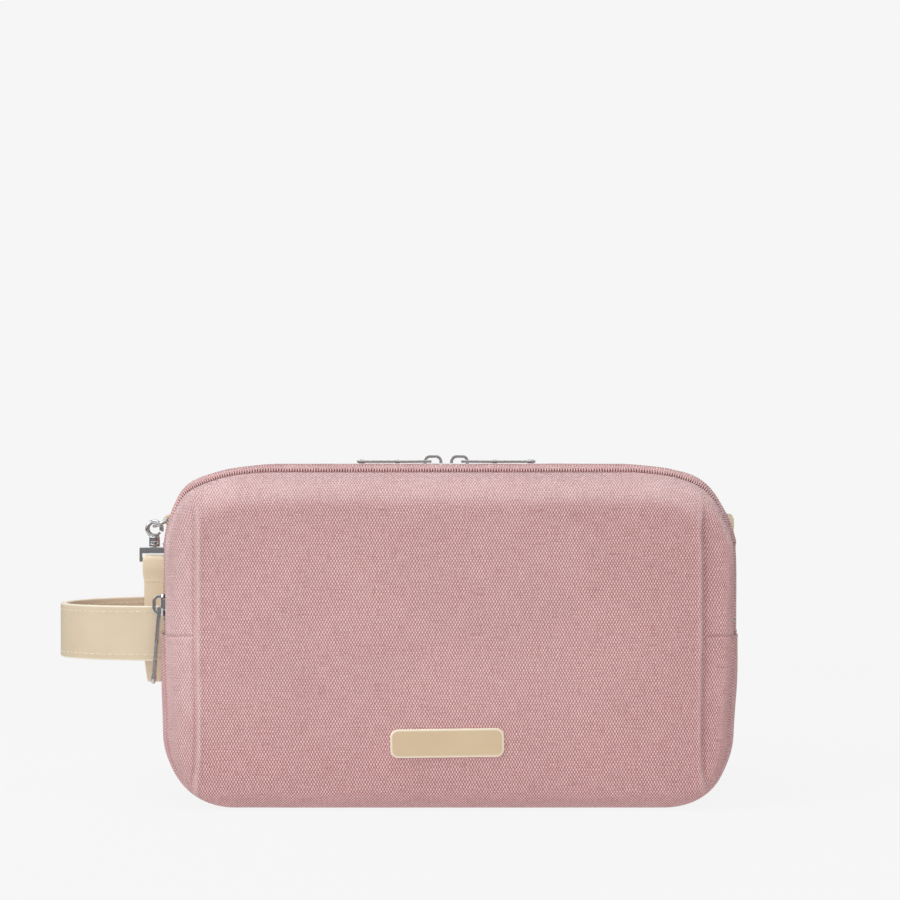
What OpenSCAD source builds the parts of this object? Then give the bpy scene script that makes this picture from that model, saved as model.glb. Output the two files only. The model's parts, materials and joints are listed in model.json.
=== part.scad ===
// Shaving kit bag: a padded canvas pouch with two zippers, a side carry handle
// and a hanging loop on a snap hook. Front is -Y, top is +Z, origin under the
// middle of the flat base. Millimetres.

/* [Bag] */
// Width of the bag between its end panels
bag_w = 250; // [220:5:300]
// Height of the bag from base to top
bag_h = 148.5; // [141:0.5:170]
// Depth of the bag from front seam to back seam
bag_d = 90; // [80:1:110]
// Radius of the upper corners of the front and back panels
top_r = 36; // [30:1:38]
// Radius of their lower corners
bottom_r = 32; // [28:1:38]
// Thickness of the padded canvas wall
wall = 3; // [2.5:0.1:4]
// How far the stuffed middle of the front panel stands out
front_bulge = 5; // [3:0.5:7]
// Half the width of that raised middle, out to its folds
fold_x = 109; // [90:1:112]

/* [Zippers] */
// Height of the seam where the zippers' gusset meets the bottom gusset
seam_z = 75; // [70:1:80]
// Height of the line on which the front flap folds forward
flap_z = 94; // [94:1:98]
// Height at which the main zipper ends, and on which the rear flap folds back
main_end_z = 114; // [112:1:118]
// Distance of the front zipper behind the front panel
front_zip_in = 6; // [6:0.5:8]
// Place of the main zipper's middle, from the bag's middle
main_zip_y = 3; // [0:1:6]
// Width of the window in the gusset that each zipper fills
zip_window = 12; // [12:0.5:14]
// Length of a pull tab
pull_len = 33; // [20:1:34]
// Height of the middle of the side slider at rest
side_slider_z = 87.6; // [84:0.1:88]

/* [Leather and hardware] */
// Width of the carry handle
handle_w = 24; // [16:1:26]
// How far the carry handle reaches out from the end panel
handle_reach = 51; // [40:1:60]
// Width of the hanging loop
loop_w = 10.4; // [8:0.2:11]
// Height of the lowest point of the hanging loop
loop_bottom_z = 50; // [40:1:60]
// Width of the label patch
label_w = 48.7; // [40:0.5:60]
// Height of the label patch
label_h = 12.3; // [10:0.1:16]

/* [Hidden] */
$fn = 48;

// Colours
canvas = "#c89c9a";
leather = "#dcc8a8";
metal = "#c9ccd0";
cloth = "#d9c6c2";
board = "#e6e6e2";

// Fabric stack, as insets from the bag's outline
tape_in = wall;
tape_t = 0.7;
coil_in = 1.4;
lining_in = tape_in + 1.2;
lining_t = 0.7;

// Depths, front to back
half_d = bag_d / 2;
panel_y = half_d - wall;
front_y = -half_d - front_bulge;
front_zip_y = -panel_y + front_zip_in;
front_strip_y = -panel_y + zip_window;
main_y0 = main_zip_y - zip_window / 2;
main_y1 = main_zip_y + zip_window / 2;
divider_y = front_strip_y + 2.1;
divider_t = 1.4;
seam_lap = 2;

// Gap between parts of two bodies that only touch on the real bag
body_gap = 0.3;
// Radial play of the hardware's pins
run_gap = 0.1;
// How far pieces of one solid run into each other
bite = 0.1;
flap_cut = flap_z + body_gap;
mouth_cut = main_end_z + body_gap;

// Zipper strands either side of a slider's post
strand_w = 2.7;
strand_gap = 0.5;
tape_gap = 0.6;
slider_l = 9.6;
stop_h = 2;
stop_z = side_slider_z - slider_l / 2 - stop_h - body_gap;
coil_z = stop_z + stop_h + 0.1;

// Slider, in its own frame: X towards its pull tab, Z out of the bag
slider_w = 8.4;
plate_t = 1;
low_plate_in = tape_in + tape_t + 0.4;
crown_w = 1.6;
crown_wire = 1.4;
crown_r = 3;
crown_half = 1.3;
crown_z = 1.2;
pull_t = 1.2;
pull_bar_r = 0.7;
side_pull_lean = 4.5;
main_slider_left_x = -7.5;
main_slider_right_x = 4.5;

// Handle loop, an ellipse seen from above
end_x = bag_w / 2;
handle_mid_y = 5.5;
handle_half_y = 34.5;
ply = 1.3;
handle_mid_z = 74.5;

// Hanging hardware on the left end
bar_at = [-end_x - 1.8, main_zip_y, 123.5];
ring_drop = 25;
ring_r = 5.6;
ring_arm = 1.8;
ring_wire_r = 0.85;
ring_reach = ring_arm + ring_r;
hook_hang = 1.1;
hook_at = [
    bar_at[0] - ring_reach * cos(ring_drop), main_zip_y, bar_at[2] - ring_reach * sin(ring_drop) - hook_hang
];
hook_r = 3.2;
hook_wire_r = 1;
hook_barrel_r = 2.4;
hook_barrel_z = [-8, -3.7];
gate_at = [0.9, -3.15];
gate_slot = 1.8;
gate_pin_r = 0.41;
gate_leaf_y = -0.7;
gate_leaf_t = 1.1;
knuckle_r = 0.9;
stud_head_z = -6.7;
stud_head_r = 1.5;
stud_head_t = 0.8;
stud_r = 0.85;
frame_top_z = -8.3;
frame_t = 2.9;
swivel_bar_r = 0.75;
swivel_bar_z = -13.9;

// Corners of the bag's outline, inset by i, as points in x and z
function arc_points(cx, cz, r, from, n = 8) =
    [for (k = [0:n]) [cx + r * cos(from + 90 * k / n), cz + r * sin(from + 90 * k / n)]];
function outline_points(i) =
    let (half = bag_w / 2, top_x = half - top_r, low_x = half - bottom_r, top_z = bag_h - top_r)
    concat(
        arc_points(top_x, top_z, top_r - i, 0), arc_points(-top_x, top_z, top_r - i, 90),
        arc_points(-low_x, bottom_r, bottom_r - i, 180), arc_points(low_x, bottom_r, bottom_r - i, 270)
    );

// A shape drawn in x and z, from y0 to y1
module along_y(y0, y1) {
    translate([0, y1, 0]) rotate([90, 0, 0]) linear_extrude(y1 - y0) children();
}

// A sheet with the bag's outline
module sheet(i, y0, y1) {
    along_y(y0, y1) polygon(outline_points(i));
}

// A strip that runs round the bag between insets i0 and i1
module band(i0, i1, y0, y1) {
    difference() {
        sheet(i0, y0, y1);
        sheet(i1, y0 - 1, y1 + 1);
    }
}

// What lies between two heights
module between(z0, z1) {
    intersection() {
        children();
        translate([-bag_w, -bag_d, z0]) cube([2 * bag_w, 2 * bag_d, z1 - z0]);
    }
}

module above(z0) {
    between(z0, 2 * bag_h) children();
}

module on_side(side) {
    intersection() {
        children();
        translate([side < 0 ? -bag_w : 0, -bag_d, -1]) cube([bag_w, 2 * bag_d, 2 * bag_h]);
    }
}

module rounded_plate(w, h, t, r) {
    x = w / 2 - r;
    z = h / 2 - r;
    along_y(-t, 0) polygon(concat(
        arc_points(x, z, r, 0), arc_points(-x, z, r, 90),
        arc_points(-x, -z, r, 180), arc_points(x, -z, r, 270)
    ));
}

// ---- Canvas shell ----

// The front panel, with its stuffed middle standing out
module front_panel() {
    middle_in = 6;
    union() {
        sheet(wall, -half_d, -panel_y);
        intersection() {
            sheet(middle_in, front_y, -half_d + 0.1);
            translate([-fold_x, -bag_d, 0]) cube([2 * fold_x, bag_d, bag_h]);
        }
    }
}

module front_panel_lower() {
    color(canvas) between(-1, flap_z) front_panel();
}

module front_panel_flap() {
    color(canvas) above(flap_cut) front_panel();
}

module back_panel_lower() {
    color(canvas) between(-1, main_end_z) sheet(0, panel_y, half_d);
}

module back_panel_flap() {
    color(canvas) above(mouth_cut) sheet(0, panel_y, half_d);
}

module bottom_gusset() {
    color(canvas) between(-1, seam_z) band(0, wall, -half_d, panel_y);
}

module end_panel(side) {
    color(canvas) on_side(side) between(seam_z, main_end_z) band(0, wall, front_strip_y, panel_y);
}

module middle_strip() {
    color(canvas) above(main_end_z) band(0, wall, front_strip_y, main_y0);
}

module rear_strip() {
    color(canvas) above(mouth_cut) band(0, wall, main_y1, panel_y);
}

// ---- Zippers ----

module tape(y0, y1, z0) {
    color(canvas) above(z0) band(tape_in, tape_in + tape_t, y0, y1);
}

module front_tape_flap() {
    tape(-panel_y, front_zip_y - tape_gap, flap_cut);
}

module front_tape_ends() {
    between(seam_z, flap_z) tape(-panel_y, front_zip_y - tape_gap, seam_z);
}

module front_tape_rear() {
    tape(front_zip_y + tape_gap, front_strip_y + seam_lap, seam_z);
}

module main_tape_front() {
    tape(main_y0 - seam_lap, main_zip_y - tape_gap, main_end_z - seam_lap);
}

module main_tape_rear() {
    tape(main_zip_y + tape_gap, main_y1 + seam_lap, mouth_cut);
}

// One strand of coil beside a zipper's middle, on its front (-1) or rear (1)
module strand(zip_y, side, z0) {
    near = zip_y + side * strand_gap;
    far = zip_y + side * (strand_gap + strand_w);
    color(canvas) above(z0) band(coil_in, tape_in, min(near, far), max(near, far));
}

module front_coil_flap() {
    strand(front_zip_y, -1, flap_cut);
}

module front_coil_ends() {
    between(coil_z, flap_z) strand(front_zip_y, -1, coil_z);
}

module front_coil_rear() {
    strand(front_zip_y, 1, coil_z);
}

module main_coil_front() {
    strand(main_zip_y, -1, main_end_z);
}

module main_coil_rear() {
    strand(main_zip_y, 1, mouth_cut);
}

module zipper_end_stops() {
    color(metal) for (side = [-1, 1])
        translate([side * (end_x - 2) - 1, front_zip_y - 3, stop_z]) cube([2, 6, stop_h]);
}

// The arch over a slider, which a pull tab hangs on
module crown() {
    top = crown_z + crown_r;
    outer = concat(
        [[crown_half + crown_r, -0.2]],
        arc_points(crown_half, crown_z, crown_r, 0, 12), arc_points(-crown_half, crown_z, crown_r, 90, 12),
        [[-crown_half - crown_r, -0.2]]
    );
    inner = concat(
        [[crown_half + crown_r - crown_wire, -1]],
        arc_points(crown_half, crown_z, crown_r - crown_wire, 0, 12),
        arc_points(-crown_half, crown_z, crown_r - crown_wire, 90, 12),
        [[-crown_half - crown_r + crown_wire, -1]]
    );
    difference() {
        along_y(-crown_w / 2, crown_w / 2) polygon(outer);
        along_y(-crown_w, crown_w) polygon(inner);
    }
}

module slider_plate() {
    half = slider_l / 2;
    wide = slider_w / 2;
    polygon([
        [-half, -wide + 1.2], [-half + 1.2, -wide], [half - 3.4, -wide], [half, -wide + 0.7],
        [half, wide - 0.7], [half - 3.4, wide], [-half + 1.2, wide], [-half, wide - 1.2]
    ]);
}

module slider() {
    low_plate_t = 0.9;
    post = [3, 0.5, low_plate_in];
    flange = [5, 0.6, 1.6];
    nose = 0.4;
    color(metal) union() {
        translate([0, 0, -plate_t]) linear_extrude(plate_t) slider_plate();
        translate([0, 0, -low_plate_in - low_plate_t]) linear_extrude(low_plate_t) slider_plate();
        translate([-slider_l / 2 + nose, -post[1] / 2, -low_plate_in - bite]) cube(post);
        for (side = [-1, 1])
            translate([-flange[0] / 2 - nose, side * (slider_w - flange[1]) / 2 - flange[1] / 2,
                       2 * bite - plate_t - flange[2]])
                cube(flange);
        crown();
    }
}

// Pull tab lying along X from the bar that it turns on
module pull_tab() {
    eye_l = 4.2;
    eye_half = 1.2;
    rail = 1.2;
    neck = eye_half + rail;
    waist = pull_len * 0.45;
    end_half = 3.3;
    chamfer = 0.6;
    // A bar that stands proud of both faces
    module raised_bar(x, size) {
        translate([x, -size[1] / 2, -size[2] / 2]) cube(size);
    }
    color(metal) union() {
        rotate([90, 0, 0]) cylinder(h = 2 * neck, r = pull_bar_r, center = true);
        for (side = [-1, 1])
            translate([0, side > 0 ? eye_half : -neck, -pull_t / 2]) cube([eye_l + 4 * bite, rail, pull_t]);
        translate([0, 0, -pull_t / 2]) linear_extrude(pull_t) polygon([
            [eye_l, -neck], [waist, -neck - bite], [pull_len - 2, -end_half], [pull_len - chamfer, -3],
            [pull_len, -1.8], [pull_len, 1.8], [pull_len - chamfer, 3], [pull_len - 2, end_half],
            [waist, neck + bite], [eye_l, neck]
        ]);
        raised_bar(pull_len - 3.4, [2.6, 5.8, 1.7]);
        raised_bar(waist - 1, [1.8, 4, 1.6]);
    }
}

// Places a slider, or the pull tab on it, on the top of the bag or on its left end
module on_top(x, toward) {
    translate([x, main_zip_y, bag_h]) rotate([0, 0, toward < 0 ? 180 : 0]) children();
}

module on_left_end() {
    translate([-end_x, front_zip_y, side_slider_z]) rotate([0, 90, 180]) children();
}

module pull_on_crown(lean = 0) {
    translate([crown_half, 0, crown_z]) rotate([0, -lean, 0]) pull_tab();
}

// ---- Leather ----

module label_patch() {
    color(leather) translate([0, front_y, 29.5]) rounded_plate(label_w, label_h, 1.2, 3.5);
}

module handle_ring(out0, out1) {
    outer = [for (a = [90:6:270])
        [(handle_reach - out0) * cos(a), (handle_half_y - out0) * sin(a)]];
    inner = [for (a = [270:-6:90])
        [(handle_reach - out1) * cos(a), (handle_half_y - out1) * sin(a)]];
    translate([-end_x, handle_mid_y, handle_mid_z - handle_w / 2])
        linear_extrude(handle_w) polygon(concat(outer, inner));
}

module carry_handle() {
    color(leather) handle_ring(0, ply);
}

module carry_handle_lining() {
    color(leather) handle_ring(ply, 2 * ply);
}

module end_tab() {
    foot = main_end_z - 8;
    color(leather) along_y(main_y0 + 1, main_y1 - 1) polygon([
        [end_x, foot], [end_x + 1.8, foot], [end_x + 3.2, 121], [end_x + 3.1, 124], [end_x + 2, 126],
        [end_x + 0.8, 126], [end_x - 0.1, 124.4], [end_x, 120]
    ]);
}

module ring_tab() {
    half = 4;
    foot = main_end_z - 1;
    x = -end_x;
    color(leather) difference() {
        union() {
            along_y(main_zip_y - half, main_zip_y + half)
                polygon([[x, foot], [x - 1.6, foot], [x - 2.9, bar_at[2] - 1.5], [x - 0.2, bar_at[2]], [x, 118]]);
            translate(bar_at) rotate([90, 0, 0]) cylinder(h = 2 * half, r = 2.3, center = true);
        }
        translate(bar_at) rotate([90, 0, 0]) cylinder(h = 3 * half, r = ring_wire_r + run_gap, center = true);
    }
}

// Leather strip folded double: a closed loop seen from the side
module hang_loop() {
    inner = swivel_bar_r + run_gap;
    top = hook_at[2] + swivel_bar_z;
    drop = top - loop_bottom_z - inner - ply;
    module stadium(r) {
        union() {
            circle(r);
            translate([-r, -drop]) square([2 * r, drop]);
            translate([0, -drop]) circle(r);
        }
    }
    color(leather) intersection() {
        difference() {
            translate([hook_at[0] - loop_w / 2, main_zip_y, top])
                rotate([90, 0, 90]) linear_extrude(loop_w) stadium(inner + ply);
            translate([hook_at[0] - loop_w, main_zip_y, top])
                rotate([90, 0, 90]) linear_extrude(2 * loop_w) stadium(inner);
        }
        translate([hook_at[0], 0, 0]) along_y(-20, 30) polygon([
            [-loop_w / 2, top + 5], [-loop_w / 2, loop_bottom_z + 12], [-loop_w / 2 + 2, loop_bottom_z - 1],
            [loop_w / 2 - 2, loop_bottom_z - 1], [loop_w / 2, loop_bottom_z + 12], [loop_w / 2, top + 5]
        ]);
    }
}

// ---- Hanging hardware ----

module d_ring() {
    color(metal) translate(bar_at) rotate([0, -ring_drop, 0]) rotate([0, 0, 180]) union() {
        rotate([90, 0, 0]) cylinder(h = 2 * ring_r + 1.7, r = ring_wire_r, center = true);
        for (side = [-1, 1])
            translate([0, side * ring_r, 0]) rotate([0, 90, 0]) cylinder(h = ring_arm, r = ring_wire_r - 0.02);
        translate([ring_arm, 0, 0]) rotate([0, 0, -90])
            rotate_extrude(angle = 180) translate([ring_r, 0]) circle(ring_wire_r - 0.02, $fn = 24);
    }
}

module snap_hook() {
    cheek = [2, 0.6, 2];
    stud_room = [3.6, 6, 1.2];
    slot_room = [4, gate_slot, 2.6];
    color(metal) translate(hook_at) difference() {
        union() {
            rotate([90, 0, 0]) rotate([0, 0, -20]) rotate_extrude(angle = 290)
                translate([hook_r, 0]) circle(hook_wire_r, $fn = 24);
            translate([0, 0, hook_barrel_z[0]]) cylinder(h = hook_barrel_z[1] - hook_barrel_z[0], r = hook_barrel_r);
            for (side = [-1, 1])
                translate([gate_at[0] - knuckle_r, side * (gate_slot + cheek[1]) / 2 - cheek[1] / 2,
                           gate_at[1] - 1.05])
                    cube(cheek);
        }
        translate([-stud_room[0] / 2, -stud_room[1] / 2, stud_head_z - 0.2]) cube(stud_room);
        translate([0, 0, hook_barrel_z[0] - 1]) cylinder(h = 2.5, r = stud_r + run_gap);
        translate([gate_at[0] - knuckle_r - 0.25, -gate_slot / 2, gate_at[1] - 1.05]) cube(slot_room);
        translate([gate_at[0], 0, gate_at[1]]) rotate([90, 0, 0])
            cylinder(h = 6, r = gate_pin_r + 0.01, center = true);
    }
}

module hook_gate() {
    tip = [hook_r * cos(-24) - gate_at[0], hook_r * sin(-24) - gate_at[1]];
    reach = norm(tip) - 0.9;
    lean = atan2(tip[1], tip[0]);
    color(metal) translate([hook_at[0] + gate_at[0], main_zip_y, hook_at[2] + gate_at[1]]) difference() {
        union() {
            translate([0, -0.75, 0]) rotate([-90, 0, 0]) cylinder(h = 0.95, r = knuckle_r);
            rotate([0, -lean, 0]) translate([0.4, gate_leaf_y, -gate_leaf_t / 2]) cube([reach, 0.9, gate_leaf_t]);
            rotate([0, -lean, 0]) translate([1, gate_leaf_y, -gate_leaf_t / 2])
                cube([reach - 0.6, -2 * gate_leaf_y, gate_leaf_t]);
        }
        rotate([90, 0, 0]) cylinder(h = 4, r = gate_pin_r + 0.05, center = true);
    }
}

module gate_pin() {
    pin_l = 3.4;
    color(metal) translate([hook_at[0] + gate_at[0], main_zip_y - pin_l / 2, hook_at[2] + gate_at[1]])
        rotate([-90, 0, 0]) cylinder(h = pin_l, r = gate_pin_r);
}

// Two turns of wire round the gate's pin, between the gate's knuckle and the hook's cheek
module gate_spring() {
    wire_r = 0.14;
    turn_r = 0.66;
    pitch = 0.25;
    color(metal) translate([hook_at[0] + gate_at[0], main_zip_y + 0.45, hook_at[2] + gate_at[1]])
        rotate([-90, 0, 0]) union() for (turn = [0, 1])
            translate([0, 0, pitch * turn]) rotate_extrude() translate([turn_r, 0]) circle(wire_r, $fn = 16);
}

module swivel_ring() {
    half_w = loop_w / 2 + 0.4;
    side_t = 1.1;
    half_t = 1.1;
    outer_w = half_w + side_t;
    color(metal) translate(hook_at) union() {
        translate([0, 0, stud_head_z]) cylinder(h = stud_head_t, r = stud_head_r);
        translate([0, 0, frame_top_z - bite]) cylinder(h = stud_head_z - frame_top_z + 2 * bite, r = stud_r);
        translate([-outer_w, -half_t, frame_top_z - frame_t]) cube([2 * outer_w, 2 * half_t, frame_t]);
        for (side = [-1, 1])
            translate([side * (half_w + side_t / 2) - side_t / 2, -half_t, swivel_bar_z - half_t])
                cube([side_t, 2 * half_t, frame_top_z - swivel_bar_z]);
        translate([0, 0, swivel_bar_z]) rotate([0, 90, 0])
            cylinder(h = 2 * half_w + 1, r = swivel_bar_r, center = true);
    }
}

// ---- Inside ----

module divider_panel() {
    color(cloth) sheet(wall, divider_y, divider_y + divider_t);
}

// Lining of the main compartment, between two depths
module lining_band(y0, y1) {
    band(lining_in, lining_in + lining_t, y0, y1);
}

module main_lining() {
    y0 = divider_y + divider_t + 0.1;
    y1 = panel_y - 0.1;
    color(cloth) union() {
        between(0, main_end_z - 4) lining_band(y0, y1);
        lining_band(y0, main_y0 - seam_lap - 0.5);
        between(0, main_end_z) sheet(lining_in, y1 - lining_t, y1);
    }
}

module rear_flap_lining() {
    y1 = panel_y - 0.1;
    color(cloth) above(mouth_cut) union() {
        lining_band(main_y1 + seam_lap + 0.5, y1);
        sheet(lining_in, y1 - lining_t, y1);
    }
}

module front_lining() {
    color(cloth) between(0, flap_z) sheet(lining_in, -panel_y + 0.1, -panel_y + 0.1 + lining_t);
}

module front_flap_lining() {
    color(cloth) above(flap_cut) sheet(lining_in, -panel_y + 0.1, -panel_y + 0.1 + lining_t);
}

module base_board() {
    board_x = bag_w / 2 - bottom_r;
    y0 = divider_y + divider_t + 0.5;
    color(board) translate([-board_x, y0, wall]) cube([2 * board_x, panel_y - y0 - 0.5, 1.1]);
}

front_panel_lower();
front_panel_flap();
back_panel_lower();
back_panel_flap();
bottom_gusset();
end_panel(-1);  // end_panel_left
end_panel(1);  // end_panel_right
middle_strip();
rear_strip();
front_tape_flap();
front_tape_ends();
front_tape_rear();
main_tape_front();
main_tape_rear();
front_coil_flap();
front_coil_ends();
front_coil_rear();
main_coil_front();
main_coil_rear();
zipper_end_stops();
on_top(main_slider_left_x, -1) slider();  // main_slider_left
on_top(main_slider_left_x, -1) pull_on_crown();  // main_pull_left
on_top(main_slider_right_x, 1) slider();  // main_slider_right
on_top(main_slider_right_x, 1) pull_on_crown();  // main_pull_right
on_left_end() slider();  // side_slider
on_left_end() pull_on_crown(side_pull_lean);  // side_pull
label_patch();
carry_handle();
carry_handle_lining();
ring_tab();
end_tab();
d_ring();
snap_hook();
hook_gate();
gate_pin();
gate_spring();
swivel_ring();
hang_loop();
divider_panel();
main_lining();
rear_flap_lining();
front_lining();
front_flap_lining();
base_board();
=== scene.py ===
"""Looks of a shaving kit bag: a canvas pouch with leather straps and nickel hardware.

Shapes are worked out in millimetres and become metres when a mesh is made. The front is -Y.
"""

import json
import math
import random

import bmesh
import bpy
import numpy as np
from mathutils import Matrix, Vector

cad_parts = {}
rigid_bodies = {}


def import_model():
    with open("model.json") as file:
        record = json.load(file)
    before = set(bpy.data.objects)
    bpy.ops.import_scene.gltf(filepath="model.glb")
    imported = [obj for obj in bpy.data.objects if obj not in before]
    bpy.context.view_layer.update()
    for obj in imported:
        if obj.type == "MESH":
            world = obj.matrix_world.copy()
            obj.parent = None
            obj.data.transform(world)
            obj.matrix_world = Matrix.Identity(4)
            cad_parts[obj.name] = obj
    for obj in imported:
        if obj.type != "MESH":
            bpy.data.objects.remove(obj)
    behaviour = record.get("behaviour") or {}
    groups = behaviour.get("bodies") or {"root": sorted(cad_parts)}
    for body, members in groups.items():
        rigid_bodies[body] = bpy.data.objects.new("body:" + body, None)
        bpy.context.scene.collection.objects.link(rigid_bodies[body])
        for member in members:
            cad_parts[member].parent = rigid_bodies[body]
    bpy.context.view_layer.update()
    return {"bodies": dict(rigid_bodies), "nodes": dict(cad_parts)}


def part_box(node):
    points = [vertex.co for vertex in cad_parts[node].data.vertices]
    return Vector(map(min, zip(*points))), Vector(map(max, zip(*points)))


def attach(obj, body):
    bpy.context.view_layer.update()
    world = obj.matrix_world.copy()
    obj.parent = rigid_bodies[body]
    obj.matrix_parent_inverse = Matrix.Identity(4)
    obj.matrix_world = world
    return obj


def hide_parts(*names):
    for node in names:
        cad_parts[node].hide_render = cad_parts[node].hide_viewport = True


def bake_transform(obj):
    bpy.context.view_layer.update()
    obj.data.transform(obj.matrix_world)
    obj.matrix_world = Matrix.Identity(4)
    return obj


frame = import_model()

MM = 0.001


# -------- sizes, from the frame


def box_mm(node):
    """Lowest and highest corner of a CAD node, in millimetres."""
    low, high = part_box(node)
    return np.array(low) / MM, np.array(high) / MM


HALF_W, PANEL_Y, SEAM_Z = box_mm("bottom_gusset")[1]
BAG_H = box_mm("back_panel_flap")[1][2]
END_Z = box_mm("end_panel_left")[1][2]
STRIP_Y = box_mm("middle_strip")[0][1]
MAIN_Y0 = box_mm("middle_strip")[1][1]
MAIN_Y1 = box_mm("rear_strip")[0][1]
MAIN_Y = (MAIN_Y0 + MAIN_Y1) / 2
FRONT_ZIP_Y = (STRIP_Y - PANEL_Y) / 2
FRONT_IN = HALF_W - box_mm("front_panel_lower")[1][0]
DIVIDER_Y = box_mm("divider_panel")[0][1]
TOP_R = 36
BOTTOM_R = 32
FOLD_X = 109
CANVAS_T = 1.6
LINING_T = 0.5
SIDE_TOP_Z = BAG_H - TOP_R


# -------- the bag's outline


def build_outline():
    """Segments of the outline from the middle of the base towards +X: straight or round."""
    low_x = HALF_W - BOTTOM_R
    top_x = HALF_W - TOP_R
    side = SIDE_TOP_Z - BOTTOM_R
    quarter = math.pi / 2
    return [
        ("line", (0, 0), (1, 0), low_x),
        ("arc", (low_x, BOTTOM_R), -quarter, quarter * BOTTOM_R, BOTTOM_R),
        ("line", (HALF_W, BOTTOM_R), (0, 1), side),
        ("arc", (top_x, SIDE_TOP_Z), 0, quarter * TOP_R, TOP_R),
        ("line", (top_x, BAG_H), (-1, 0), 2 * top_x),
        ("arc", (-top_x, SIDE_TOP_Z), quarter, quarter * TOP_R, TOP_R),
        ("line", (-HALF_W, SIDE_TOP_Z), (0, -1), side),
        ("arc", (-low_x, BOTTOM_R), 2 * quarter, quarter * BOTTOM_R, BOTTOM_R),
        ("line", (-low_x, 0), (1, 0), low_x),
    ]


SEGMENTS = build_outline()
GIRTH = sum(segment[3] for segment in SEGMENTS)


def outline(s):
    """Place (x, z) and outward normal (nx, nz) at s millimetres along the outline."""
    s = np.mod(np.asarray(s, float), GIRTH)
    x, z, nx, nz = (np.zeros_like(s) for _ in range(4))
    start = 0.0
    for segment in SEGMENTS:
        kind, (px, pz), turn, length = segment[:4]
        here = (s >= start) & (s <= start + length)
        t = s[here] - start
        if kind == "line":
            dx, dz = turn
            x[here], z[here] = px + dx * t, pz + dz * t
            nx[here], nz[here] = dz, -dx
        else:
            angle = turn + t / segment[4]
            nx[here], nz[here] = np.cos(angle), np.sin(angle)
            x[here], z[here] = px + segment[4] * nx[here], pz + segment[4] * nz[here]
        start += length
    return x, z, nx, nz


def right_s(z):
    """Where the outline's right side is at height z. The left side is at GIRTH less this."""
    foot = SEGMENTS[0][3] + SEGMENTS[1][3]
    if z <= SIDE_TOP_Z:
        return foot + z - BOTTOM_R
    return foot + SIDE_TOP_Z - BOTTOM_R + TOP_R * math.asin(min(1, (z - SIDE_TOP_Z) / TOP_R))


RIGHT_SEAM = right_s(SEAM_Z)
LEFT_SEAM = GIRTH - RIGHT_SEAM
RIGHT_END = right_s(END_Z)
LEFT_END = GIRTH - RIGHT_END


def edge_distance(x, z, inset=0.0):
    """How far a point lies inside the outline drawn inset millimetres in."""
    half_h = BAG_H / 2
    radius = np.where(z > half_h, TOP_R, BOTTOM_R)
    qx = np.abs(x) - (HALF_W - radius)
    qz = np.abs(z - half_h) - (half_h - radius)
    outside = np.hypot(np.maximum(qx, 0), np.maximum(qz, 0))
    return radius - outside - np.minimum(np.maximum(qx, qz), 0) - inset


def smooth(a, b, value):
    """0 before a, 1 after b, and a smooth rise between."""
    t = np.clip((np.asarray(value, float) - a) / (b - a), 0, 1)
    return t * t * (3 - 2 * t)


def hump(value, at, width):
    """1 at a place, and falling away to both sides of it."""
    return np.exp(-(((value - at) / width) ** 2))


def unit(vectors):
    """The same directions, 1 long."""
    return vectors / np.linalg.norm(vectors, axis=-1, keepdims=True)


def ripple(u, v, scale, seed):
    """Gentle fixed waves between about -1 and 1, for cloth that isn't quite even."""
    rng = random.Random(seed)
    total = 0
    for _ in range(5):
        angle = rng.uniform(0, math.pi)
        wave = rng.uniform(0.7, 1.6) / scale
        along = u * math.cos(angle) + v * math.sin(angle)
        total = total + np.sin(wave * along * 2 * math.pi + rng.uniform(0, 6.3))
    return total / 5


# -------- mesh helpers


def new_object(name, verts_mm, faces, material, uv=None, wear_and_painted_light=None):
    """An object from corners in millimetres. uv, and the paleness for wear and painted light, have a value for
    each corner.
    """
    mesh = bpy.data.meshes.new(name)
    mesh.from_pydata([tuple(float(c) * MM for c in v) for v in verts_mm], [], faces)
    # the attribute that carries even wear, painted light and painted shade
    if wear_and_painted_light is not None:
        layer = mesh.attributes.new("wear_and_painted_light", "FLOAT", "POINT")
        layer.data.foreach_set("value", np.asarray(wear_and_painted_light, np.float32))
    if uv is not None:
        layer = mesh.uv_layers.new(name="cloth")
        loops = np.zeros(len(mesh.loops), dtype=np.int32)
        mesh.loops.foreach_get("vertex_index", loops)
        layer.data.foreach_set("uv", (np.asarray(uv)[loops] * MM).astype(np.float32).ravel())
    bm = bmesh.new()
    bm.from_mesh(mesh)
    bmesh.ops.remove_doubles(bm, verts=bm.verts, dist=1e-7)
    bmesh.ops.recalc_face_normals(bm, faces=bm.faces)
    bm.to_mesh(mesh)
    bm.free()
    mesh.materials.append(material)
    mesh.shade_smooth()
    made = bpy.data.objects.new(name, mesh)
    bpy.context.collection.objects.link(made)
    return made


# How far the soft bag gives at its top, its corners and its sides
TOP_SAG = 1.1
LEFT_CORNER_RISE = 2.4
RIGHT_CORNER_DROP = 1.8
SHOULDER_IN = 1.1
LOW_LEFT_IN = 1.4
LOW_RIGHT_IN = 2.3


def settled(points):
    """Points of the soft bag moved a little: its top sags beside the corners, and its sides give."""
    points = np.array(points, float)
    x, z = points[..., 0], points[..., 2]
    high = smooth(118, 136, z)
    sag = TOP_SAG * smooth(79, 94, np.abs(x)) * (1 - smooth(98, 112, np.abs(x)))
    corners = LEFT_CORNER_RISE * hump(x, -117, 7) - RIGHT_CORNER_DROP * hump(x, 122, 5)
    points[..., 2] = z + high * (corners - sag)
    low = (1 - smooth(30, 78, z)) * smooth(-2, 20, z)
    left_in = LOW_LEFT_IN * low * smooth(100, 124, -x)
    right_in = LOW_RIGHT_IN * low * smooth(100, 124, x) + SHOULDER_IN * smooth(98, 120, x) * hump(z, 122, 9)
    points[..., 0] = x + left_in - right_in
    return points


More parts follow.
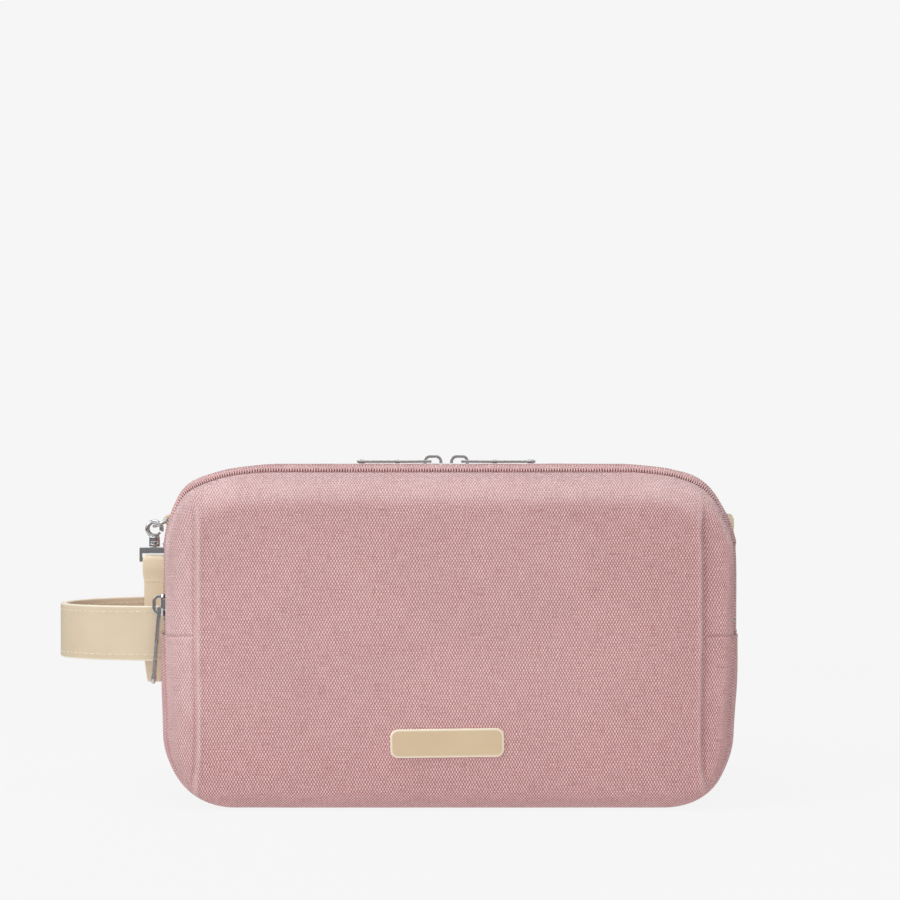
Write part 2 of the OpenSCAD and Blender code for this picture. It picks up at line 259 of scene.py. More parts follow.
def grid_faces(rows, columns, offset=0):
    faces = []
    for a in range(offset, offset + (rows - 1) * columns, columns):
        b = a + columns
        faces += [(a + j, a + j + 1, b + j + 1, b + j) for j in range(columns - 1)]
    return faces


def tube_faces(rings, count, closed=False):
    """Faces round a stack of rings of count corners each: joined end to end, or capped."""
    faces = []
    for i in range(rings - 1 + closed):
        a, b = i * count, ((i + 1) % rings) * count
        faces += [(a + k, a + (k + 1) % count, b + (k + 1) % count, b + k) for k in range(count)]
    if not closed:
        faces += [tuple(range(count))[::-1], tuple(range((rings - 1) * count, rings * count))]
    return faces


def grid_normals(points, towards):
    """Unit normals of a grid of points, all on the side that the directions towards are mostly on."""
    du = np.gradient(points, axis=0)
    dv = np.gradient(points, axis=1)
    normals = np.cross(du, dv)
    length = np.linalg.norm(normals, axis=2, keepdims=True)
    normals /= np.maximum(length, 1e-9)
    return normals * np.sign(np.sum(normals * towards))


def shell(name, points, towards, thickness, material, uv, wear_and_painted_light=None):
    """A closed sheet: the grid of points is its outer face, and its inner face lies inwards.

    The last argument gives how far each point's cloth is painted pale, up to 1, by even wear and painted light;
    below 0 is painted shade.
    """
    points = settled(points)
    rows, columns = points.shape[:2]
    inner = points - grid_normals(points, towards) * thickness
    count = rows * columns
    verts = np.concatenate([points.reshape(-1, 3), inner.reshape(-1, 3)])
    faces = grid_faces(rows, columns) + [f[::-1] for f in grid_faces(rows, columns, count)]
    rim = [i * columns for i in range(rows)]
    rim += [(rows - 1) * columns + j for j in range(1, columns)]
    rim += [i * columns + columns - 1 for i in range(rows - 2, -1, -1)]
    rim += list(range(columns - 2, 0, -1))
    for here, after in zip(rim, rim[1:] + rim[:1]):
        faces.append((here, after, after + count, here + count))
    if wear_and_painted_light is not None:
        wear_and_painted_light = np.tile(wear_and_painted_light.ravel(), 2)
    return new_object(name, verts, faces, material, np.tile(uv.reshape(-1, 2), (2, 1)), wear_and_painted_light)


def joined(name, groups, material):
    """One object from several (verts, faces) groups."""
    verts, faces = [], []
    for group_verts, group_faces in groups:
        faces += [tuple(i + len(verts) for i in f) for f in group_faces]
        verts += list(group_verts)
    return new_object(name, verts, faces, material)


def tube(path, radius, sides):
    """Corners and faces of a round tube along a path of points."""
    tangents = unit(np.gradient(np.asarray(path, float), axis=0))
    up = np.array([0.0, 0.0, 1.0]) if abs(tangents[0][2]) < 0.9 else np.array([0.0, 1.0, 0.0])
    verts = []
    for point, tangent in zip(path, tangents):
        side = unit(np.cross(tangent, up))
        up = np.cross(side, tangent)
        for k in range(sides):
            angle = 2 * math.pi * k / sides
            verts.append(point + radius * (math.cos(angle) * side + math.sin(angle) * up))
    return verts, tube_faces(len(path), sides)


THREAD_R = 0.22
STITCH_RISE = 0.4
STITCH_DIP = 0.25


def stitch(start, end, normal):
    """One stitch of thread: a short bowed tube that dips into the leather at both ends."""
    start, end, normal = (np.asarray(v, float) for v in (start, end, normal))
    path = []
    for t in np.linspace(0, 1, 7):
        path.append(start + (end - start) * t + normal * (STITCH_RISE * math.sin(math.pi * t) - STITCH_DIP))
    return tube(path, THREAD_R, 6)


def stitches_along(path, normals, length, gap):
    """Stitches along a path of points, with a normal at each point."""
    path, normals = np.asarray(path, float), np.asarray(normals, float)
    steps = np.linalg.norm(np.diff(path, axis=0), axis=1)
    along = np.concatenate([[0], np.cumsum(steps)])

    def at(values, s):
        return [np.interp(s, along, values[:, k]) for k in range(3)]

    groups = []
    s = gap
    while s + length < along[-1]:
        groups.append(stitch(at(path, s), at(path, s + length), at(normals, s + length / 2)))
        s += length + gap
    return groups


# -------- materials


class Graph:
    """A node tree, with short ways to add nodes. Values are sockets, numbers or (r, g, b)."""

    def __init__(self, tree):
        self.nodes, self.link = tree.nodes, tree.links.new

    def feed(self, socket, value):
        """Give an input its value."""
        if isinstance(value, tuple):
            socket.default_value = (*value, 1)
        elif isinstance(value, (int, float)):
            socket.default_value = value
        else:
            self.link(value, socket)

    def shade(self, inputs):
        """Give inputs of the Principled shader their values."""
        for name, value in inputs.items():
            self.feed(self.nodes["Principled BSDF"].inputs[name], value)

    def math(self, operation, a, b=None, clamp=False):
        made = self.nodes.new("ShaderNodeMath")
        made.operation, made.use_clamp = operation, clamp
        self.feed(made.inputs[0], a)
        if b is not None:
            self.feed(made.inputs[1], b)
        return made.outputs[0]

    def times(self, a, b, clamp=False):
        return self.math("MULTIPLY", a, b, clamp)

    def plus(self, a, b, clamp=False):
        return self.math("ADD", a, b, clamp)

    def mix(self, factor, a, b, blend="MIX"):
        """A mix of two colours."""
        made = self.nodes.new("ShaderNodeMix")
        made.data_type, made.blend_type = "RGBA", blend
        for slot, value in ((0, factor), (6, a), (7, b)):
            self.feed(made.inputs[slot], value)
        return made.outputs[2]

    def noise(self, place, scale, detail=2.0, stretch=(1, 1, 1)):
        """Noise between 0 and 1, at a scale in waves per metre, and stretched along an axis."""
        mapping = self.nodes.new("ShaderNodeMapping")
        mapping.inputs["Scale"].default_value = stretch
        self.link(place, mapping.inputs["Vector"])
        made = self.nodes.new("ShaderNodeTexNoise")
        made.inputs["Scale"].default_value = scale
        made.inputs["Detail"].default_value = detail
        self.link(mapping.outputs[0], made.inputs["Vector"])
        return made.outputs["Fac"]

    def cloth(self):
        """Place on a cloth, measured over its surface."""
        made = self.nodes.new("ShaderNodeUVMap")
        made.uv_map = "cloth"
        return made.outputs[0]

    def place(self):
        """Place in space."""
        return self.nodes.new("ShaderNodeTexCoord").outputs["Object"]

    def split(self, place):
        """The three parts of a place."""
        made = self.nodes.new("ShaderNodeSeparateXYZ")
        self.link(place, made.inputs[0])
        return made.outputs

    def bump(self, height, distance, strength=1.0):
        made = self.nodes.new("ShaderNodeBump")
        made.inputs["Distance"].default_value = distance
        made.inputs["Strength"].default_value = strength
        self.link(height, made.inputs["Height"])
        self.shade({"Normal": made.outputs[0]})

    def wavering(self, place):
        """The same place, shifted a little by noise so that threads don't run dead straight."""
        waves = self.nodes.new("ShaderNodeTexNoise")
        waves.inputs["Scale"].default_value = 260
        waves.inputs["Detail"].default_value = 1
        self.link(place, waves.inputs["Vector"])
        shifted = self.nodes.new("ShaderNodeVectorMath")
        shifted.operation = "MULTIPLY_ADD"
        shifted.inputs[1].default_value = (0.0007, 0.0006, 0)
        self.link(waves.outputs["Color"], shifted.inputs[0])
        self.link(place, shifted.inputs[2])
        return shifted.outputs[0]

    def weave(self, place, threads):
        """Crossing threads of a plain weave, with their spacings in metres across and up.

        Gives which thread is on top, 0 or 1, and the height.
        """
        parts = self.split(place)
        across, up = (self.math("SINE", self.times(parts[k], math.pi / threads[k])) for k in (0, 1))
        # narrower upwards, so that tall cells still show round dots
        product = self.times(across, self.times(up, self.math("ABSOLUTE", up)))
        on_top = self.plus(self.times(product, 2.3), 0.22, clamp=True)
        return on_top, self.math("ABSOLUTE", product)


def material(name):
    """A new node material and its graph."""
    made = bpy.data.materials.new(name)
    made.use_nodes = True
    return made, Graph(made.node_tree)


def toned(colour, factor):
    return tuple(part * factor for part in colour)


CANVAS_GROUND = (0.335, 0.118, 0.114)
CANVAS_DOT = (0.92, 0.655, 0.66)
# Pale colour that the canvas turns to with its even wear and with painted light
CANVAS_WEAR_AND_PAINTED_LIGHT = (0.96, 0.86, 0.86)
# Spacings of the threads across and up, in metres
CANVAS_THREADS = (0.00061, 0.00109)


def canvas_material():
    """Two-tone canvas: pale weft over a rose warp, with uneven threads, paler with even wear and painted light,
    and darker with painted shade, as its mesh attribute gives.
    """
    made, graph = material("pink_canvas")
    place = graph.wavering(graph.cloth())
    on_top, height = graph.weave(place, CANVAS_THREADS)
    # the mesh attribute: even wear and painted light above 0, painted shade below 0
    attribute = graph.nodes.new("ShaderNodeAttribute")
    attribute.attribute_name = "wear_and_painted_light"
    wear_and_painted_light = attribute.outputs["Fac"]
    # painted light shows more pale dots, and painted shade fewer
    on_top = graph.plus(on_top, graph.times(wear_and_painted_light, 0.5))
    weft = graph.noise(place, 120, 3, (1, 18, 1))
    warp = graph.noise(place, 120, 3, (18, 1, 1))
    cloud = graph.noise(place, 22, 3)
    fleck = graph.noise(place, 900, 2)
    uneven = graph.times(graph.math("SUBTRACT", graph.plus(weft, warp), 0.5), 2.0)
    dots = graph.times(on_top, uneven, clamp=True)
    base = graph.mix(dots, CANVAS_GROUND, CANVAS_DOT)
    flecked = graph.mix(fleck, toned(CANVAS_GROUND, 0.86), toned(CANVAS_DOT, 1.12))
    base = graph.mix(0.22, base, flecked)
    # paler towards the pale colour, for wear and painted light
    base = graph.mix(graph.times(wear_and_painted_light, 0.6), base, CANVAS_WEAR_AND_PAINTED_LIGHT)
    shade = graph.mix(cloud, (0.9, 0.88, 0.88), (1.08, 1.08, 1.08))
    graph.shade({
        "Base Color": graph.mix(1, base, shade, "MULTIPLY"),
        "Roughness": graph.plus(graph.times(height, -0.12), 0.92),
        "Specular IOR Level": 0.25,
        "Sheen Weight": 0.45,
        "Sheen Roughness": 0.35,
        "Sheen Tint": (1, 0.82, 0.84),
    })
    graph.bump(graph.plus(height, graph.times(warp, 0.5)), 0.00022, 0.9)
    return made


def fine_cloth(name, thread, tones, wear_and_painted_light, patches, share, roughness, sheen, relief):
    """An even weave in two tones, with patches of a third tone. thread and relief are in metres."""
    made, graph = material(name)
    place = graph.cloth()
    on_top, height = graph.weave(place, (thread, thread))
    worn_here = graph.times(graph.noise(place, patches, 3), share)
    base = graph.mix(worn_here, graph.mix(on_top, *tones), wear_and_painted_light)
    graph.shade({"Base Color": base, "Roughness": roughness, "Sheen Weight": sheen})
    graph.bump(height, relief)
    return made


def plain_material(name, tones, scale, detail, roughness, relief, uneven=0):
    """Plain stuff whose tone, and roughness where uneven isn't 0, vary from place to place."""
    made, graph = material(name)
    speck = graph.noise(graph.place(), scale, detail)
    graph.shade({"Base Color": graph.mix(speck, *tones)})
    graph.shade({"Roughness": graph.plus(graph.times(speck, uneven), roughness) if uneven else roughness})
    graph.bump(speck, relief)
    return made


def leather_material(name, light, dark, edge_half=None):
    """Smooth tan leather. With edge_half, cloth v beyond that many millimetres is the pale cut edge."""
    made, graph = material(name)
    place = graph.place()
    cloud = graph.noise(place, 45, 4)
    grain = graph.noise(place, 1500, 4)
    cells = graph.nodes.new("ShaderNodeTexVoronoi")
    cells.feature = "DISTANCE_TO_EDGE"
    cells.inputs["Scale"].default_value = 1500
    graph.link(place, cells.inputs["Vector"])
    base = graph.mix(cloud, dark, light)
    base = graph.mix(graph.times(grain, 0.18), base, toned(dark, 0.72))
    if edge_half:
        across = graph.math("ABSOLUTE", graph.split(graph.cloth())[1])
        past = graph.math("SUBTRACT", across, (edge_half - 0.35) * MM)
        base = graph.mix(graph.times(past, 1 / (0.5 * MM), clamp=True), base, LEATHER_EDGE)
    graph.shade({
        "Base Color": base,
        "Roughness": graph.plus(graph.times(cloud, 0.2), 0.38),
        "Specular IOR Level": 0.45,
        "Coat Weight": 0.08,
        "Coat Roughness": 0.4,
    })
    graph.bump(graph.plus(graph.times(cells.outputs["Distance"], 0.6), grain), 0.00006, 0.7)
    return made


def metal_material():
    """Polished nickel plating with faint handling marks."""
    made, graph = material("nickel_plate")
    place = graph.place()
    smear = graph.noise(place, 350, 4)
    scratch = graph.noise(place, 700, 2, (1, 1, 9))
    graph.shade({
        "Base Color": graph.mix(smear, toned(NICKEL, 0.86), toned(NICKEL, 1.12)),
        "Roughness": graph.plus(graph.times(scratch, 0.1), 0.12),
        "Metallic": 1,
    })
    graph.bump(smear, 0.00001, 0.5)
    return made


NICKEL = (0.6, 0.605, 0.615)
LEATHER_EDGE = (0.84, 0.77, 0.63)
BAND_W = box_mm("carry_handle")[1][2] - box_mm("carry_handle")[0][2]
BAND_EDGE = BAND_W / 2 - 0.4

CANVAS = canvas_material()
TAPE = fine_cloth("zip_tape_cloth", 0.0003, ((0.60, 0.36, 0.35), (0.72, 0.48, 0.47)), (0.80, 0.58, 0.57),
                  150, 0.3, 0.85, 0, 0.00012)
COIL = plain_material("zip_coil_nylon", ((0.60, 0.36, 0.36), (0.80, 0.57, 0.56)), 260, 3, 0.35, 0.00004, 0.2)
# The band's leather made paler: painted light that makes up for the shade beside the bag's end, where the hang
# loop and the tabs sit
LEATHER_WITH_PAINTED_LIGHT = leather_material("tan_leather", (0.86, 0.76, 0.57), (0.74, 0.62, 0.43))
BAND_LEATHER = leather_material("tan_leather_band", (0.71, 0.60, 0.445), (0.59, 0.475, 0.33), BAND_EDGE)
LABEL_LEATHER = leather_material("tan_leather_label", (0.66, 0.515, 0.34), (0.55, 0.405, 0.255), BAND_EDGE)
METAL = metal_material()
LINING = fine_cloth("lining_cloth", 0.00022, ((0.55, 0.42, 0.385), (0.66, 0.53, 0.49)), (0.5, 0.37, 0.34),
                    30, 0.35, 0.6, 0.2, 0.00008)
BOARD = plain_material("base_board_plastic", ((0.68, 0.68, 0.65), (0.8, 0.8, 0.77)), 400, 3, 0.55, 0.00003)
THREAD = plain_material("cream_thread", ((0.66, 0.57, 0.43), (0.86, 0.79, 0.65)), 1800, 2, 0.6, 0.00004)


# -------- canvas panels

PANEL_EDGE_IN = FRONT_IN + 0.3
PANEL_SEAM_Y = -PANEL_Y - 1
BACK_SEAM_Y = PANEL_Y + 1
BACK_EDGE_IN = 0.4
BACK_OUT = 3.0
BACK_CROWN = 2.4
BACK_ROUND = 11
FORWARDS = np.array([0, -1, 0])
FACE_OUT = 5.4
# Width of the roll along the panel's edge, at the sides and at the top
FACE_ROUND = 6.5
FACE_ROUND_TOP = 14.5
# The roll grows wide between these heights
TOP_ROLL_Z = (104, 137)
MIDDLE_OUT = 1.9
CROWN_OUT = 1.5
# How far from its edges the cloth is pulled together, and by how much
EDGE_THREADS = 6
EDGE_CLOSER = 1.3
# How far the cloth swells over its seam at the sides, at the top and at the base
OVERHANG = 1.9
OVERHANG_TOP = 0.7
OVERHANG_LOW = 3.7
# The creases and the slanting lips that run down from their tops
CREASE_TOP_Z = 131
CREASE_DIP = 0.9
CREASE_W = 0.9
LIP_X = FOLD_X + 2.9
LIP_REACH = 9
LIP_FALL = 11
LIP_OUT = 0.5
FACE_UNEVEN = 0.32
PUCKER_OUT = 0.1
PUCKER_PITCH = 7.5
CREASE_IN = 0.6
RIDGE_OUT = 0.5
SIDE_SEAM_IN = 0.75
SIDE_SEAM_FOLD = 0.45

# Places across the last few millimetres of a row, closer together at the very edge
EDGE_STEPS = 1 - np.linspace(1, 0, 20) ** 2


def rows_of_panel(inset, fine=()):
    """Heights and half widths of the rows of a panel whose edge lies inset millimetres in.

    fine gives heights of more rows, where something small crosses the panel.
    """
    turn = np.linspace(0, math.pi / 2, 44)
    low_r, top_r = BOTTOM_R - inset, TOP_R - inset
    low_z, low_w = BOTTOM_R - low_r * np.cos(turn), HALF_W - BOTTOM_R + low_r * np.sin(turn)
    side_z = np.unique(np.concatenate([np.linspace(BOTTOM_R, SIDE_TOP_Z, 50), np.array(fine)]))[1:-1]
    side_w = np.full(len(side_z), HALF_W - inset)
    top_z, top_w = SIDE_TOP_Z + top_r * np.sin(turn), HALF_W - TOP_R + top_r * np.cos(turn)
    return np.concatenate([low_z, side_z, top_z]), np.concatenate([low_w, side_w, top_w])


def columns_of_panel(half_w, fold):
    """Places across a row, closer together near the fold at +-fold."""
    a, b = min(fold - 5, half_w - 6), min(fold + 4, half_w - 2)
    inner = np.concatenate([np.linspace(0, a, 50)[:-1], np.linspace(a, b, 28)[:-1]])
    right = np.concatenate([inner, b + (half_w - b) * EDGE_STEPS])
    return np.concatenate([-right[:0:-1], right])


def panel_grid(inset, fold=FOLD_X, fine=()):
    """x and z of a grid that fills the outline drawn inset millimetres in."""
    heights, widths = rows_of_panel(inset, fine)
    x = np.array([columns_of_panel(w, fold) for w in widths])
    return x, np.repeat(heights[:, None], x.shape[1], axis=1)


def cloth_lengths(points):
    """Distances over the surface along a grid's rows and columns, for the weave to follow.

    Towards the edges the threads lie closer together, as in cloth that is pulled over a seam.
    """
    x, z = points[:, :, 0], points[:, :, 2]
    from_side = np.abs(x[:, [-1]]) - np.abs(x)
    from_end = np.minimum(z - z[[0], :], z[[-1], :] - z)

    def closer(distance):
        return 1 + EDGE_CLOSER * (1 - smooth(0, EDGE_THREADS, distance))

    across = np.linalg.norm(np.diff(points, axis=1), axis=2)
    across = across * closer((from_side[:, 1:] + from_side[:, :-1]) / 2)
    u = np.concatenate([np.zeros((len(points), 1)), np.cumsum(across, axis=1)], axis=1)
    u -= u[:, [u.shape[1] // 2]]
    up = np.abs(np.diff(points[:, :, 1:], axis=0))
    up = np.hypot(up[:, :, 0], up[:, :, 1]) * closer((from_end[1:] + from_end[:-1]) / 2)
    v = np.concatenate([np.zeros((1, points.shape[1])), np.cumsum(up, axis=0)], axis=0)
    middle = points.shape[0] // 2
    return np.stack([u, v - v[[middle], :]], axis=2)


DOME_Z = 70
DOME_HALF_H = 80


def dome(x, z, half_w):
    """1 in the middle of a panel, and 0 at half_w to its sides."""
    return np.clip(1 - (x / half_w) ** 2, 0, 1) * np.clip(1 - ((z - DOME_Z) / DOME_HALF_H) ** 2, 0, 1)


def front_out(x, z):
    """How far the front panel stands out from its seam."""
    ax = np.abs(x)
    deep = edge_distance(x, z, PANEL_EDGE_IN)
    roll = FACE_ROUND + (FACE_ROUND_TOP - FACE_ROUND) * smooth(*TOP_ROLL_Z, z)
    t = np.clip(deep / roll, 0, 1)
    out = FACE_OUT * np.sqrt(np.maximum(0, 1 - (1 - t) ** 2))
    crease = 1 - smooth(CREASE_TOP_Z - 14, CREASE_TOP_Z + 3, z)
    spread = CREASE_W + 15 * smooth(CREASE_TOP_Z - 10, CREASE_TOP_Z + 8, z)
    middle = 1 - smooth(FOLD_X - CREASE_W, FOLD_X - CREASE_W + spread, ax)
    out += MIDDLE_OUT * middle * smooth(1, 15, deep)
    # the cloth beside each crease lies flat as far as a slanting lip
    below = CREASE_TOP_Z - z
    lip = lip_at(z)
    beside = smooth(FOLD_X - 0.7, FOLD_X + 0.6, ax) * smooth(-2, 3, below)
    flat = beside * smooth(-0.4, 2.2, lip - ax)
    level = FACE_OUT - CREASE_DIP * (1 - smooth(20, 50, below)) - 0.35
    out = out + flat * np.minimum(level - out, 0)
    upper = (1 - smooth(18, 45, below)) * smooth(1, 3, deep)
    out += LIP_OUT * beside * hump(ax, lip + 0.8, 1.1) * upper
    out -= CREASE_IN * crease * hump(ax, FOLD_X + 0.5, 0.6) * smooth(0, 4, deep)
    out += RIDGE_OUT * crease * hump(ax, FOLD_X - 1.8, 1.2) * smooth(0, 4, deep)
    # short seams across the sides
    side = smooth(FOLD_X + 0.2, FOLD_X + 1.5, ax)
    out -= SIDE_SEAM_IN * side * hump(z, SEAM_Z, 0.5) * smooth(0, 2, deep)
    out += SIDE_SEAM_FOLD * side * hump(z, SEAM_Z - 2.0, 1.4) * smooth(0, 3, deep)
    # stuffing, unevenness, and puckers along the perimeter seam
    out += CROWN_OUT * dome(x, z, FOLD_X)
    out += FACE_UNEVEN * ripple(x, z, 46, 3) * smooth(2, 16, deep)
    out += PUCKER_OUT * np.sin((x + z) * 2 * math.pi / PUCKER_PITCH) * hump(deep, 2.6, 1.4)
    return np.maximum(out, 0)


def lip_at(z):
    """Where the slanting lip beside each crease lies at height z."""
    return LIP_X + LIP_REACH * (1 - np.exp(-np.maximum(CREASE_TOP_Z - z, 0) / LIP_FALL))


# Painted light and shade on the front canvas, over an even paleness all over: painted light on the top roll and
# the left, painted highlights on the crease ridges, painted shade at the bottom and on the right
WORN_ALL = 0.05
PAINTED_LIGHT_TOP = 0.26
# Painted light, left and right: beside the creases, and more where the cloth turns away
PAINTED_LIGHT_BESIDE = (0.22, 0.02)
PAINTED_LIGHT_BEYOND = (0.13, 0.28)
PAINTED_HIGHLIGHT_RIDGE = (0.26, 0.16)
# Painted shade, towards the bottom and on the right, away from the light
PAINTED_SHADE_LOW = 0.06
PAINTED_SHADE_RIGHT = 0.05


def front_painted_light_and_shade(x, z):
    """Painted light on the front panel's cloth, over an even paleness: paler on its upper roll, which faces the
    light from above, on the left, where light falls, and beyond its creases, where the cloth turns away, with
    painted highlights on the crease ridges.

    Below 0 is painted shade, towards the bottom and on the right, where the cloth shows more of its darker
    warp.
    """
    deep = edge_distance(x, z, PANEL_EDGE_IN)
    ax, left = np.abs(x), x < 0
    # painted light on the upper roll, which faces the light from above
    top = smooth(118, 140, z) * (1 - smooth(FACE_ROUND_TOP - 6, FACE_ROUND_TOP + 2, deep))
    beyond = smooth(-0.8, 0.8, ax - lip_at(z))
    beside = smooth(FOLD_X - 0.5, FOLD_X + 0.8, ax)
    # painted light beside and beyond the creases, more on the left
    rolls = np.where(left, *PAINTED_LIGHT_BESIDE) + np.where(left, *PAINTED_LIGHT_BEYOND) * beyond
    rolls = beside * rolls * (0.55 + 0.45 * smooth(20, 80, z))
    # painted highlight along each crease's ridge, brighter on the left
    ridge = hump(ax, FOLD_X - 1.2, 0.9) * (1 - smooth(CREASE_TOP_Z - 6, CREASE_TOP_Z, z))
    uneven = 1 + 0.2 * ripple(x, z, 24, 31)
    wear_and_painted_light = WORN_ALL + PAINTED_LIGHT_TOP * top + rolls * (1 - top) + np.where(left, *PAINTED_HIGHLIGHT_RIDGE) * ridge
    # painted shade: darker towards the bottom and on the right
    dark = PAINTED_SHADE_LOW * (1 - smooth(4, 60, z)) + PAINTED_SHADE_RIGHT * smooth(30, 110, x) * (1 - top)
    return wear_and_painted_light * uneven - dark


def overhang(x, z):
    """Place of the front panel's cloth, which swells sideways over its seam."""
    deep = edge_distance(x, z, PANEL_EDGE_IN)
    step = 0.01
    slope_x = (edge_distance(x + step, z) - edge_distance(x - step, z)) / (2 * step)
    slope_z = (edge_distance(x, z + step) - edge_distance(x, z - step)) / (2 * step)
    swell = OVERHANG - (OVERHANG - OVERHANG_TOP) * smooth(112, 140, z)
    swell = swell + (OVERHANG_LOW - OVERHANG) * (1 - smooth(6, 22, z))
    swell = swell * (1 - np.exp(-deep / 0.5)) * (1 - smooth(1.5, 14, deep))
    return x - slope_x * swell, z - slope_z * swell


def panel_cloth(name, points, towards, thickness, cloth, wear_and_painted_light=None):
    """A panel's cloth from (x, y, z), with its weave laid out over the surface."""
    points = np.stack(points, axis=2)
    return shell(name, points, towards, thickness, cloth, cloth_lengths(points), wear_and_painted_light)


def make_front():
    x, z = panel_grid(PANEL_EDGE_IN, fine=np.arange(SEAM_Z - 6, SEAM_Z + 4, 0.4))
    wide_x, wide_z = overhang(x, z)
    points = (wide_x, PANEL_SEAM_Y - front_out(x, z), wide_z)
    panel = panel_cloth("front_canvas", points, FORWARDS, CANVAS_T, CANVAS, front_painted_light_and_shade(x, z))
    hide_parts("front_panel_lower", "front_panel_flap")
    front_fold(panel)
    inset, behind = PANEL_EDGE_IN + 2.4, 2.2
    x, z = panel_grid(inset)
    deep = edge_distance(x, z, inset)
    out = 0.55 * front_out(x, z) * smooth(0, 14, deep) - behind + 0.25 * ripple(x, z, 30, 5)
    points = (x, PANEL_SEAM_Y - np.maximum(out, -behind), z)
    lining = panel_cloth("front_lining_cloth", points, FORWARDS, LINING_T, LINING)
    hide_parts("front_lining", "front_flap_lining")
    front_fold(lining)


def front_fold(piece):
    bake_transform(piece)


def rear_fold(piece):
    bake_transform(piece)


def back_out(x, z):
    """How far the back panel stands out from its seam."""
    deep = edge_distance(x, z, BACK_EDGE_IN)
    t = np.clip(deep / BACK_ROUND, 0, 1)
    out = BACK_OUT * np.sqrt(np.maximum(0, 1 - (1 - t) ** 2))
    out += BACK_CROWN * dome(x, z, 120) + 0.35 * ripple(x, z, 52, 11) * smooth(2, 16, deep)
    out += 0.13 * np.sin((x + z) * 2 * math.pi / 6.5) * hump(deep, 2.2, 1.6)
    return np.maximum(out, 0)


def make_back():
    x, z = panel_grid(BACK_EDGE_IN, fold=100)
    points = (x, BACK_SEAM_Y + back_out(x, z), z)
    panel = panel_cloth("back_canvas", points, -FORWARDS, CANVAS_T, CANVAS)
    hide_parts("back_panel_lower", "back_panel_flap")
    rear_fold(panel)
    x, z = panel_grid(4.6, fold=100)
    y = BACK_SEAM_Y - CANVAS_T + 0.5 * back_out(x, z) - 0.2 * ripple(x, z, 30, 12)
    lining = panel_cloth("back_lining_cloth", (x, y, z), -FORWARDS, LINING_T, LINING)
    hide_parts("rear_flap_lining")
    rear_fold(lining)


def round_over(distance, width, depth):
    """A quarter round: depth at distance 0, and 0 from width on."""
    t = np.clip(1 - distance / width, 0, 1)
    return depth * (1 - np.sqrt(np.maximum(0, 1 - t ** 2)))


RIGHT_PUFF = 2.4
LEFT_PUFF = 1.4


def puff(x, z):
    """How far the stuffed sides push the gusset out, by place on the outline."""
    side = smooth(92, HALF_W, np.abs(x)) * smooth(4, 42, z)
    right = RIGHT_PUFF * side * (0.35 + 0.65 * smooth(24, 70, z))
    left = LEFT_PUFF * side * (1 - 0.6 * smooth(SEAM_Z + 2, SEAM_Z + 22, z))
    return np.where(x > 0, right, left) * (1 - 0.55 * smooth(END_Z - 8, BAG_H - 10, z))


HEM_W = 1.6
STRIP_UNEVEN = 0.25
# How far an unstretched strip 40 mm wide bulges
STRIP_BULGE = 0.6


def bulge(y, y0, y1):
    """1 midway between two depths, and 0 at both."""
    return np.clip(1 - ((2 * y - y0 - y1) / (y1 - y0)) ** 2, 0, 1)


def strip(name, s0, s1, y0, y1, front_edge, back_edge, inset=0.0, thickness=CANVAS_T, cloth=CANVAS,
          puffed=True, ends=(0, 0), seed=1, leaning=False, meets=None):
    """A strip of the gusset from s0 to s1 along the outline. Each edge is (width, depth) of its round.

    ends gives how far a hem stands out at s0 and s1. meets gives the depths of the strip that it
    is sewn to at the side seams, so that both swell alike there.
    """
    count = max(12, int((s1 - s0) / 2.2))
    s = np.linspace(s0, s1, count)
    if ends[0] or ends[1]:
        s = np.unique(np.concatenate([s, s0 + np.arange(0, 5, 0.4), s1 - np.arange(0, 5, 0.4)]))
    mid, half = (y0 + y1) / 2, (y1 - y0) / 2
    turn = np.linspace(-math.pi / 2, math.pi / 2, max(9, int((y1 - y0) / 1.6)))
    y = mid + half * np.sin(turn)
    big_s, big_y = np.meshgrid(s, y, indexing="ij")
    x, z, nx, nz = outline(big_s)
    across = bulge(big_y, y0, y1)
    if meets:
        across = across + (bulge(big_y, *meets) - across) * smooth(SEAM_Z - 26, SEAM_Z, z)
    out = -inset - round_over(big_y - y0, *front_edge) - round_over(y1 - big_y, *back_edge)
    if puffed:
        out = out + puff(x, z) * across ** 0.8 + STRIP_UNEVEN * across * ripple(big_s, big_y, 42, seed)
        out = out + STRIP_BULGE * across * (half / 20) * (1 - smooth(120, 140, z))
        out = np.where((z < 1.5) & (nz < -0.9), np.minimum(out, 0), out)
    if leaning:
        out = out + np.maximum(lean(big_y, z), -0.4)
    for side, at in enumerate((s0, s1)):
        out = out + ends[side] * hump(big_s, at, HEM_W)
    points = np.stack([x + nx * out, big_y, z + nz * out], axis=2)
    towards = np.stack([nx, np.zeros_like(nx), nz], axis=2)
    uv = np.stack([big_s, big_y], axis=2)
    return shell(name, points, towards, thickness, cloth, uv)


